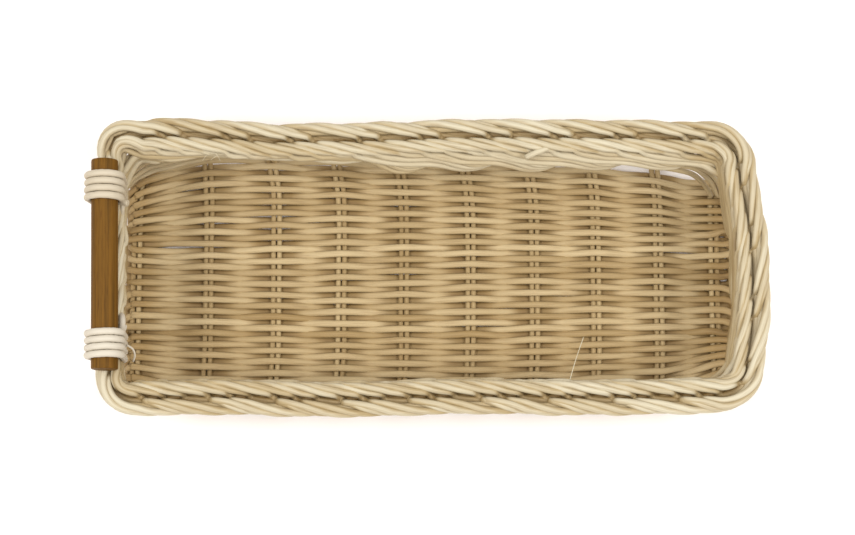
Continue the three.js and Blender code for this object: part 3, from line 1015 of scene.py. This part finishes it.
def wall_share(middle, low):
    """How much a lane hangs on an end wall: the lowest wholly, the next by half, the top one not at all."""
    return low / 2 * end_share(middle + GROUP_PITCH * LOWER_WALL_BAY)


def corner_past(along, corner):
    """How far a place along the rim is past a corner's middle."""
    return (along - corner + RIM_LENGTH / 2) % RIM_LENGTH - RIM_LENGTH / 2


def fanned(stations, low):
    """A hanging strand's stations with those near a far corner drawn together into one point of the fan."""
    for corner, share in FAN_CORNERS:
        if not corner_past(stations[0][0], corner) < 0 < corner_past(stations[-1][0], corner):
            continue
        inward, down = max(station[1:] for station in stations)
        before = [station for station in stations if corner_past(station[0], corner) < -FAN_HALF_RUN]
        after = [station for station in stations if corner_past(station[0], corner) > FAN_HALF_RUN]
        return [*before, (corner, inward + FAN_REACH[low] * share, down), *after]
    return stations


def swag_places(swag, low, size, tuck, drop):
    """A lane's places along a swag of that size, drawn in to the wall and dropped by that much."""
    places = []
    for bays, apart, (inward, inward_sized, inward_lane), (down, down_sized, down_lane) in swag:
        inward = inward + (inward_sized + low * inward_lane) * size - tuck
        down = down + (down_sized + low * down_lane) * size + drop
        places.append((bays, apart, inward, down))
    return places


def hanging_points(edge, middle, lane):
    """A border strand's points from the inner row's edge to its end under the border.

    It hangs in two swags, each a bay long: one close under the row, the next lower.
    Then it crosses under the valley from the inner row to the outer one.
    """
    low = 2 - lane
    wall = wall_share(middle, low)
    upper_tuck = LEFT_TUCK * left_share(middle + GROUP_PITCH * UPPER_WALL_BAY)
    lower_tuck = END_TUCK * wall + LEFT_TUCK * left_share(middle + GROUP_PITCH * LOWER_WALL_BAY)
    upper_size = swag_size(middle + GROUP_PITCH * UPPER_BAY)
    lower_size = swag_size(middle + GROUP_PITCH * LOWER_BAY)
    placed = []
    for bays, apart, inward, down in [
        *swag_places(UPPER_SWAG, low, upper_size, upper_tuck, 0.0),
        *swag_places(LOWER_SWAG, low, lower_size, lower_tuck, END_DROP * wall),
        *swag_places(SWAG_END, low, 1.0, 0.0, 0.0),
        *UNDER_VALLEY,
    ]:
        placed.append((middle + GROUP_PITCH * bays + (lane - 1) * apart, inward, down))
    placed = placed[:1] + fanned(placed[1:5], low) + placed[5:]
    # Below the inner row's edge a lower lane lies further down and in
    below_edge = border_point(edge + 4.0, -7.2 - low * 0.4, -6.2 - low * 0.7)
    return [below_edge, *(border_point(along, -inward, -down) for along, inward, down in placed)]


# How the strands differ: a group's tone, a strand's own on top, its thickness, and how far and long it wavers
GROUP_TONES = (0.1, 0.5)
STRAND_TONES = (-0.25, 0.3)
THICKNESSES = (0.96, 1.03)
BORDER_WAVE = (0.12, 45)

# Painted shade where the strands hang inside the wall below the inner row: how much darker, and how much more
# so on the end walls
HUNG_SHADE_TONE = 0.2
END_HUNG_SHADE = 1.3
HUNG_SPAN = (-5, 6)

# Painted shade on the strands' ends under the border: its tone, how long those ends are and over how many
# points it rises
UNDER_BORDER_SHADE_TONE = 1.9
UNDER_BORDER_SHADE_RUN = GROUP_PITCH * 1.25 + 10
UNDER_BORDER_SHADE_RISE = 8

# Painted shade on the strands down in the valley: how dark, how much less so on the right wall, and where
# that starts
VALLEY_SHADE = 0.6
PALER_RIGHT = 0.6
VALLEY_DEPTHS = (3.2, 6.0)
VALLEY_SIDES = (2.4, 4.0)


def group_strand(group, lane, chance):
    """One of a group's three strands, from the outer row to its end under the border.

    Returns its path and, for each point, how much painted shade it gets where it hangs on the wall, how much
    it gets under the border and down in the valley, and which way the border's surface looks there.
    """
    start = GROUP_PITCH * (group + (lane + 0.5) / 3) + GROUP_PHASE
    start += stray(random.Random(900 + group), START_STRAY)
    early = EARLY_DIVE if lane == 2 else stray(chance, START_STRAY)
    rows = over_both_rows(early, DEEPER_DIVE if lane == 2 else 0.0)
    lift = LANE_LIFT[lane] + stray(chance, LIFT_STRAY)
    laid = []
    for along, out, up in rows:
        nudge = stray(chance, POINT_STRAY)
        outer = LANE_OUT[lane] * smooth_step(out, *LANE_OUT_SPAN)
        laid.append((start + along + nudge, out + outer, up + (lift if up > LIFTED_ABOVE else 0.0)))
    laid = smooth_path(laid, ROWS_STEP)
    points = [border_point(*place) for place in laid]
    middle = GROUP_PITCH * (group + 0.5) + GROUP_PHASE + rows[-1][0]
    hanging = hanging_points(start + rows[-1][0], middle, lane)
    path = np.vstack([points[:-2], smooth_path(points[-2:] + hanging, HANGING_STEP)])
    count = len(path)
    # Painted shade where the strand hangs below the inner row, more on the end walls
    shade = (1 + wall_share(middle, 2 - lane)) * (1 + END_HUNG_SHADE * end_share(middle + GROUP_PITCH))
    hung_from, hung_to = (len(points) + shift for shift in HUNG_SPAN)
    hung_shade = np.array([smooth_step(k, hung_from, hung_to) * shade for k in range(count)])
    # Painted shade on the strand's end under the border
    under_border_shade_from = count - UNDER_BORDER_SHADE_RUN / HANGING_STEP
    shade_share = np.array([smooth_step(k, under_border_shade_from, under_border_shade_from + UNDER_BORDER_SHADE_RISE) for k in range(count)])
    # Painted shade down in the valley, lighter on the right wall
    valley_shade = VALLEY_SHADE * (1 - PALER_RIGHT * right_share(middle))
    surface = np.zeros((count, 3))
    for k, (along, out, up) in enumerate(laid):
        dip = smooth_step(-up, *VALLEY_DEPTHS) * (1 - smooth_step(abs(out), *VALLEY_SIDES))
        shade_share[k] = max(shade_share[k], valley_shade * dip)
        surface[k] = surface_direction(along, out, up)
    return path, hung_shade, shade_share, surface


class BASKET_OT_border(bpy.types.Operator):
    """Lays the border's groups of three strands round the rim"""

    bl_idname = "basket.border"
    bl_label = "Border"

    def execute(self, context):
        diameter = context.scene.basket_sizes.border / MM
        for group in range(GROUP_COUNT):
            chance = random.Random(500 + group)
            bundle = Strands()
            group_tone = chance.uniform(*GROUP_TONES)
            for lane in range(3):
                path, hung_shade, shade_share, surface = group_strand(group, lane, chance)
                tone = min(1.0, max(0.0, group_tone + chance.uniform(*STRAND_TONES)))
                path = wavering(path, *BORDER_WAVE, chance.random())
                # Painted shade where the strand hangs, under the border and down in the valley
                shade = tone + HUNG_SHADE_TONE * hung_shade
                shade += (UNDER_BORDER_SHADE_TONE - shade) * shade_share
                bundle.add(path, diameter * chance.uniform(*THICKNESSES), shade, sides=12, surface=surface)
            number = f"{group + 1:02d}"
            bundle.build(f"border_strands_{number}", *BORDER_CANE, f"border_group_{number}")
        return {"FINISHED"}


# Strands that close three corners of the wall from its foot to the inner row: far left, far right, near right
CORNER_FANS = [
    [(-159, 52, 14), (-155.6, 54.7, 24), (-151.8, 57.6, 34), (-147.9, 60.5, 41), (-143, 63.6, 44)],
    [(-158.5, 51.4, 14), (-154.7, 54.9, 23), (-149.5, 58, 32), (-142, 60.7, 39), (-132, 63.6, 43)],
    [(-158.1, 51.1, 13), (-154, 54.5, 21), (-147.8, 57.6, 29), (-138.7, 59.5, 36), (-122, 63, 42)],
    [(-157.7, 50.2, 12), (-152.3, 54.3, 18), (-144.7, 56.8, 25), (-133.5, 58.8, 32), (-105, 63, 42)],
    [(-157.4, 50.1, 10), (-151.7, 53.8, 14), (-143.7, 56.3, 20), (-133.1, 57.7, 27), (-108.1, 60.2, 40)],
    [(119.1, 55.2, 38), (129.7, 54.1, 33), (137.2, 52.9, 26), (143.9, 50.1, 18), (148.9, 45.3, 10)],
    [(122, 56, 42), (135.3, 54.4, 38), (142.2, 52.5, 32), (147.7, 48.9, 24), (152.1, 44, 14)],
    [(130.8, 57.1, 42), (139.4, 55.1, 38), (146.3, 52.5, 32), (151.3, 47.8, 24), (154.6, 42.4, 14)],
    [(136.8, 57.9, 43), (144.5, 54.9, 38), (151.1, 51.3, 30), (155.2, 46.1, 22), (157.7, 38.3, 14)],
    [(154.4, -40.1, 47), (152.4, -45.2, 46), (147.2, -51.6, 45), (139.9, -56.2, 45), (130.2, -59.8, 47)],
    [(155.4, -41.1, 47), (153.9, -46.2, 46), (148.9, -52.9, 45), (141.9, -57.4, 45), (132.2, -60.8, 47)],
]
FAN_WAVE = (0.3, 38)
FAN_THICKNESSES = (0.85, 0.95)
# The fan strands are darker than the border's: their tone holds painted shade in the corners
FAN_TONES_AND_SHADE = (0.7, 1.05)

# The border's core at the bottom of its valley, with painted shade in its dark tone: outward, up, how much it
# rises at both ends, and its tone
CORE_STRANDS = [(4.4, -4.9, 0.3, 0.9), (2.4, -8.4, 2.6, 1.5), (-0.7, -9.8, 2.6, 1.6)]
CORE_POINTS = 160

# Strands along the foot of both end walls, behind the weavers' turns, with painted shade in their dark brown
# tone: in from the wall and up
FOOT_STRANDS = [(2.9, 1.2), (0.4, 1.5)]
FOOT_SHADE_TONE = 1.35
FOOT_THICKNESS = 0.55
FOOT_WIDENING = 1.8
FOOT_WAVE = (0.12, 30)
FOOT_HALF_LENGTH = 50
FOOT_POINTS = 60

# Where an old strand ends: a short stub that sticks out of the inner row, from its hidden end to its cut
CUT_END = [(64, 62.5, 55), (59, 60, 57.1), (54, 58, 57.1), (49.6, 56.3, 55.2)]
CUT_END_THICKNESS = 0.85
CUT_END_TONES = (0.1, 0.4)

# Thin fibres that have split off: thickness and the points of each
FIBRES = [
    (0.45, [(69.9, -59.2, 52), (70.5, -57.2, 51.6), (74.2, -45.3, 47), (78.8, -32.9, 39)]),
    (0.26, [(-114, 55.6, 50), (-111.2, 57.8, 53.4), (-107, 58.4, 54.6), (-104.6, 55, 51)]),
    (0.24, [(-104, 59.6, 52.5), (-106.6, 57, 54.8), (-109.5, 55.4, 52.5)]),
    (0.24, [(22, 60.8, 52), (27, 58.2, 55), (31.5, 57.4, 52.6)]),
]


def corner_strands(diameter, chance):
    """The strands that close three corners."""
    fan = Strands()
    for number, points in enumerate(CORNER_FANS):
        path = wavering(smooth_path(points, 1.5), *FAN_WAVE, number)
        thickness = diameter * chance.uniform(*FAN_THICKNESSES)
        # Their darker tones are painted shade in the corners
        fan.add(path, thickness, chance.uniform(*FAN_TONES_AND_SHADE), sides=12)
    fan.build("corner_strands", *BORDER_CANE)


def border_core(diameter):
    """The strands that the border is wound round."""
    core = Strands()
    places = np.linspace(0, RIM_LENGTH, CORE_POINTS)
    for out, up, rise, tone in CORE_STRANDS:
        path = [border_point(along, out, up + rise * end_share(along)) for along in places]
        # The core's dark tones are painted shade, lighter on the right wall
        core.add(path, diameter, [tone * (1 - PALER_RIGHT * right_share(along)) for along in places])
    core.build("border_core", *BORDER_CANE)


def foot_strands(diameter):
    """The strands along the foot of both end walls."""
    foot = Strands()
    places = np.linspace(-FOOT_HALF_LENGTH, FOOT_HALF_LENGTH, FOOT_POINTS)
    for inward, up in FOOT_STRANDS:
        right = [(RIM_RIGHT + SHIFT_X + far_end_bow(y) - inward, y, up) for y in places]
        left = [(RIM_LEFT + SHIFT_X + inward, y, up) for y in places]
        for path in (right, left):
            path = wavering(path, *FOOT_WAVE, up)
            # Their dark brown tone is painted shade under the end walls
            foot.add(path, diameter, FOOT_SHADE_TONE, width=FOOT_WIDENING, across=(1.0, 0.0, 0.0))
    foot.build("foot_strands", *BASE_CANE)


def cut_end(diameter, tone):
    """The stub of a strand that ends inside the basket."""
    stub = Strands()
    stub.add(smooth_path(CUT_END, 1.0), diameter, tone, sides=12, blunt=0.06)
    stub.build("cut_ends", *BORDER_CANE)


def loose_fibres():
    """The fibres that stand off the border."""
    hairs = Strands()
    for thickness, points in FIBRES:
        hairs.add(smooth_path(points, 0.8), thickness, 0.0, sides=6)
    hairs.build("loose_fibres", *BORDER_CANE)


class BASKET_OT_loose_ends(bpy.types.Operator):
    """Adds the strands of no group: corner strands, the border's core, the foot's, a cut end and fibres"""

    bl_idname = "basket.loose_ends"
    bl_label = "Loose ends"

    def execute(self, context):
        diameter = context.scene.basket_sizes.border / MM
        chance = random.Random(61)
        corner_strands(diameter, chance)
        border_core(diameter)
        foot_strands(diameter * FOOT_THICKNESS)
        cut_end(diameter * CUT_END_THICKNESS, chance.uniform(*CUT_END_TONES))
        loose_fibres()
        return {"FINISHED"}


# The bar and its lashings

# The bar was lashed on out of line: how far off its ends are, which the lashings take as this far out
BAR_SKEW = 1.2
BAR_SKEW_AT = 52

# Its rounded edges, how fine its outline is, how unevenly it was turned and how much wear took off it
BAR_EASE = 0.7
BAR_SIDES = 72
BAR_RINGS = 33
BAR_WEAR = (0.004, 0.003)
BAR_WORN_TO = 0.995


class BASKET_OT_handle_bar(bpy.types.Operator):
    """Turns the round bar that is lashed on the border's end"""

    bl_idname = "basket.handle_bar"
    bl_label = "Handle bar"

    def execute(self, context):
        sizes = context.scene.basket_sizes
        radius = sizes.bar / MM / 2
        half = sizes.bar_length / MM / 2
        end = [(radius * 0.5, -half)]
        for turn in (0, 30, 60, 90):
            c, s = direction(math.radians(turn))
            end.append((radius - BAR_EASE + BAR_EASE * s, -half + BAR_EASE * (1 - c)))
        middle = [(radius, half * share) for share in np.linspace(-0.94, 0.94, BAR_RINGS)]
        outline = [*end, *middle, *((r, -y) for r, y in reversed(end))]
        bar = Strands()
        chance = random.Random(3)
        phases = [chance.uniform(0, 6.28) for _ in BAR_WEAR]
        for r, y in outline:
            for i in range(BAR_SIDES):
                turn = -2 * math.pi * i / BAR_SIDES
                out_of_round = BAR_WEAR[0] * math.sin(3 * turn + phases[0])
                waist = BAR_WEAR[1] * math.sin(y / 19 + phases[1])
                worn = r * (1 + out_of_round + waist) * BAR_WORN_TO
                c, s = direction(turn)
                x = BAR_X + SHIFT_X - BAR_SKEW * y / half + worn * c
                bar.points.append(np.array([x, y, BAR_Z + worn * s]))
                bar.straight.append((y, r * c, r * s))
                bar.tones.append(0.0)
        bar.close_tube(0, len(outline), BAR_SIDES)
        bar.build("bar", *BAR_WOOD, "handle_bar")
        return {"FINISHED"}


# Each lashing: its middle's y, how far its turns lean, and how much darker it is
LASHINGS = [("near", -40.6, 2.2, 0.0), ("far", 38.4, 0.0, 0.35)]
LASHING_TURNS = 4
TURN_POINTS = 48

# A turn starts low on the outside, lies straight over the bar and crosses to the next turn under the border
TURN_START = -60
STRAIGHT_SHARE = 0.62
BULGE_SHARE = 0.75
TURN_BULGE = 0.5
TURN_STRAY = 0.08
LASHING_WIDENING = 1.07

# Each lashing's loose ends: share of its thickness, then the points of its path
LASHING_TAILS = {
    "far": [
        (0.95, [(-157, 33.5, 54), (-154, 32.6, 59), (-149.6, 31.8, 60.5)]),
        (0.7, [(-152.6, 33, 57.5), (-152.8, 29.5, 58), (-153.6, 26, 55)]),
    ],
    "near": [
        (0.95, [(-155.5, -23.5, 50), (-152.2, -24.6, 57.5), (-151.2, -28, 60.5), (-152, -33, 58)]),
        (0.3, [(-149.5, -39, 55), (-146.6, -41, 54), (-145.8, -44, 52), (-147, -46.6, 49)]),
    ],
}
TAIL_TONE = 0.1


def lashing_outline(stand_off):
    """One tight turn round the bar and the squeezed border under it, as (x, z) points."""
    rim_x = RIM_LEFT + SHIFT_X
    # The bar, then the border's rows as the lashing squeezes them: each one's x, z and radius
    held = [
        (BAR_X + SHIFT_X, BAR_Z, (bar_high[2] - bar_low[2]) / 2 / MM),
        (rim_x - 4.0, RIM_HEIGHT - 4.6, 4.2),
        (rim_x - 0.6, RIM_HEIGHT - 4.6, 3.2),
        (rim_x + 0.4, RIM_HEIGHT - 10.0, 2.2),
        (rim_x - 2.0, RIM_HEIGHT - 10.0, 2.4),
    ]
    outline = []
    for i in range(TURN_POINTS):
        way = direction(math.radians(TURN_START) + 2 * math.pi * i / TURN_POINTS)
        x, z, r = max(held, key=lambda piece: piece[0] * way[0] + piece[1] * way[1] + piece[2])
        outline.append((x + way[0] * (r + stand_off), z + way[1] * (r + stand_off)))
    return outline


def lashing_points(name, middle, lean, pitch, outline):
    """The turns of one lashing, side by side round the bar and the border, both ends drawn on a little."""
    skew = -BAR_SKEW * middle / BAR_SKEW_AT
    chance = random.Random(name)
    points = []
    for i in range(TURN_POINTS * LASHING_TURNS + 1):
        x, z = outline[i % TURN_POINTS]
        turn, share = divmod(i / TURN_POINTS, 1)
        crossed = smooth_step(share, STRAIGHT_SHARE, 1.0)
        y = middle + pitch * (turn + crossed - LASHING_TURNS / 2 + 0.5)
        bulge = TURN_BULGE * math.sin(math.pi * (share / BULGE_SHARE)) if share < BULGE_SHARE else 0.0
        y += (lean * (0.4 - share) if share < STRAIGHT_SHARE else 0.0) + bulge
        points.append((x + skew, y + stray(chance, TURN_STRAY), z))
    first, second, *_, before, last = np.array(points)
    return [first + 3 * (first - second), *points, last + 3 * (last - before)]


class BASKET_OT_lashings(bpy.types.Operator):
    """Winds the two lashings of four turns each round the bar and the border"""

    bl_idname = "basket.lashings"
    bl_label = "Lashings"

    def execute(self, context):
        diameter = context.scene.basket_sizes.lashing / MM
        outline = lashing_outline(diameter / 2 + FIT / 2)
        for name, middle, lean, tone in LASHINGS:
            path = smooth_path(lashing_points(name, middle, lean, diameter + FIT, outline), 1.2)
            lashing = Strands()
            lashing.add(path, diameter, tone, sides=14, width=LASHING_WIDENING, across=ACROSS)
            for size, tail in LASHING_TAILS[name]:
                lashing.add(smooth_path(tail, 1.0), diameter * size, tone + TAIL_TONE, sides=12, blunt=0.1)
            lashing.build(f"wound_lashing_{name}", *LASHING_CANE, f"lashing_{name}")
        return {"FINISHED"}


# The stage, in metres

FLOOR_HALF = 3.0
DAYLIGHT = 0.63
LIGHT_TARGET = (0, 0, 0.03)

# Each softbox: its name, place, size and power
SOFTBOXES = [
    ("left_softbox", (-0.85, -0.2, 1.15), 0.6, 8.6),
    ("right_softbox", (0.85, -0.2, 1.15), 0.6, 9.8),
    ("overhead", (0.0, 0.0, 1.4), 0.7, 5.0),
]

CAMERA_ELEVATION = 80.7
CAMERA_DISTANCE = 1.1
CAMERA_TARGET = (0.0, 0.0, 0.055)
SENSOR_WIDTH = 36
RIM_PIXELS_PER_METRE = 2000
PICTURE_WIDTH = 855


class BASKET_OT_stage(bpy.types.Operator):
    """Sets the pale floor, the soft light and the camera"""

    bl_idname = "basket.stage"
    bl_label = "Stage"

    def execute(self, context):
        scene = context.scene
        add_floor(scene)
        world = bpy.data.worlds.new("soft_daylight")
        world.use_nodes = True
        daylight = world.node_tree.nodes["Background"]
        daylight.inputs["Color"].default_value = (1, 1, 1, 1)
        daylight.inputs["Strength"].default_value = DAYLIGHT
        scene.world = world
        for name, place, size, power in SOFTBOXES:
            softbox = bpy.data.lights.new(name, "AREA")
            softbox.size = size
            softbox.energy = power
            aim(scene, softbox, Vector(place), Vector(LIGHT_TARGET))
        add_camera(scene)
        scene.view_settings.view_transform = "Standard"
        return {"FINISHED"}


def add_floor(scene):
    """A floor of matt white paper, on which soft shadows show and nothing shines."""
    mesh = bpy.data.meshes.new("floor")
    corners = [(x * FLOOR_HALF, y * FLOOR_HALF, 0) for x, y in ((-1, -1), (1, -1), (1, 1), (-1, 1))]
    mesh.from_pydata(corners, [], [(0, 1, 2, 3)])
    floor = bpy.data.objects.new("floor", mesh)
    scene.collection.objects.link(floor)
    paper, _, shader = new_material("white_paper", 0.9, 0.2)
    shader.inputs["Base Color"].default_value = (*scene.basket_colours.floor, 1)
    mesh.materials.append(paper)


def aim(scene, data, place, target):
    """Puts a light or a camera at its place, looking at its target."""
    thing = bpy.data.objects.new(data.name, data)
    thing.location = place
    thing.rotation_euler = (target - place).to_track_quat("-Z", "Y").to_euler()
    scene.collection.objects.link(thing)
    return thing


def add_camera(scene):
    """Looks down on the basket from a little in front of it."""
    data = bpy.data.cameras.new("camera")
    data.sensor_width = SENSOR_WIDTH
    data.lens = data.sensor_width * CAMERA_DISTANCE * RIM_PIXELS_PER_METRE / PICTURE_WIDTH
    angle = math.radians(CAMERA_ELEVATION)
    target = Vector(CAMERA_TARGET)
    place = target + CAMERA_DISTANCE * Vector((0, -math.cos(angle), math.sin(angle)))
    scene.camera = aim(scene, data, place, target)


class BASKET_PT_panel(bpy.types.Panel):
    """Lists the basket's pieces, sizes and colours"""

    bl_idname = "BASKET_PT_panel"
    bl_label = "Rattan basket"
    bl_space_type = "VIEW_3D"
    bl_region_type = "UI"
    bl_category = "Basket"

    def draw(self, context):
        layout = self.layout
        for operator in PIECES:
            layout.operator(operator.bl_idname)
        for settings in (context.scene.basket_sizes, context.scene.basket_colours):
            for name in settings.__annotations__:
                layout.prop(settings, name)


PIECES = (
    BASKET_OT_stage,
    BASKET_OT_cross_stakes,
    BASKET_OT_end_stakes,
    BASKET_OT_base_weavers,
    BASKET_OT_border,
    BASKET_OT_handle_bar,
    BASKET_OT_lashings,
    BASKET_OT_loose_ends,
)
CLASSES = (BasketSizes, BasketColours, *PIECES, BASKET_PT_panel)


def register():
    for cls in CLASSES:
        bpy.utils.register_class(cls)
    bpy.types.Scene.basket_sizes = PointerProperty(type=BasketSizes)
    bpy.types.Scene.basket_colours = PointerProperty(type=BasketColours)


def unregister():
    del bpy.types.Scene.basket_colours
    del bpy.types.Scene.basket_sizes
    for cls in reversed(CLASSES):
        bpy.utils.unregister_class(cls)


def main():
    register()
    bpy.ops.basket.stage()
    bpy.ops.basket.cross_stakes()
    bpy.ops.basket.end_stakes()
    bpy.ops.basket.base_weavers()
    bpy.ops.basket.border()
    bpy.ops.basket.handle_bar()
    bpy.ops.basket.lashings()
    bpy.ops.basket.loose_ends()


if __name__ == "__main__":
    main()
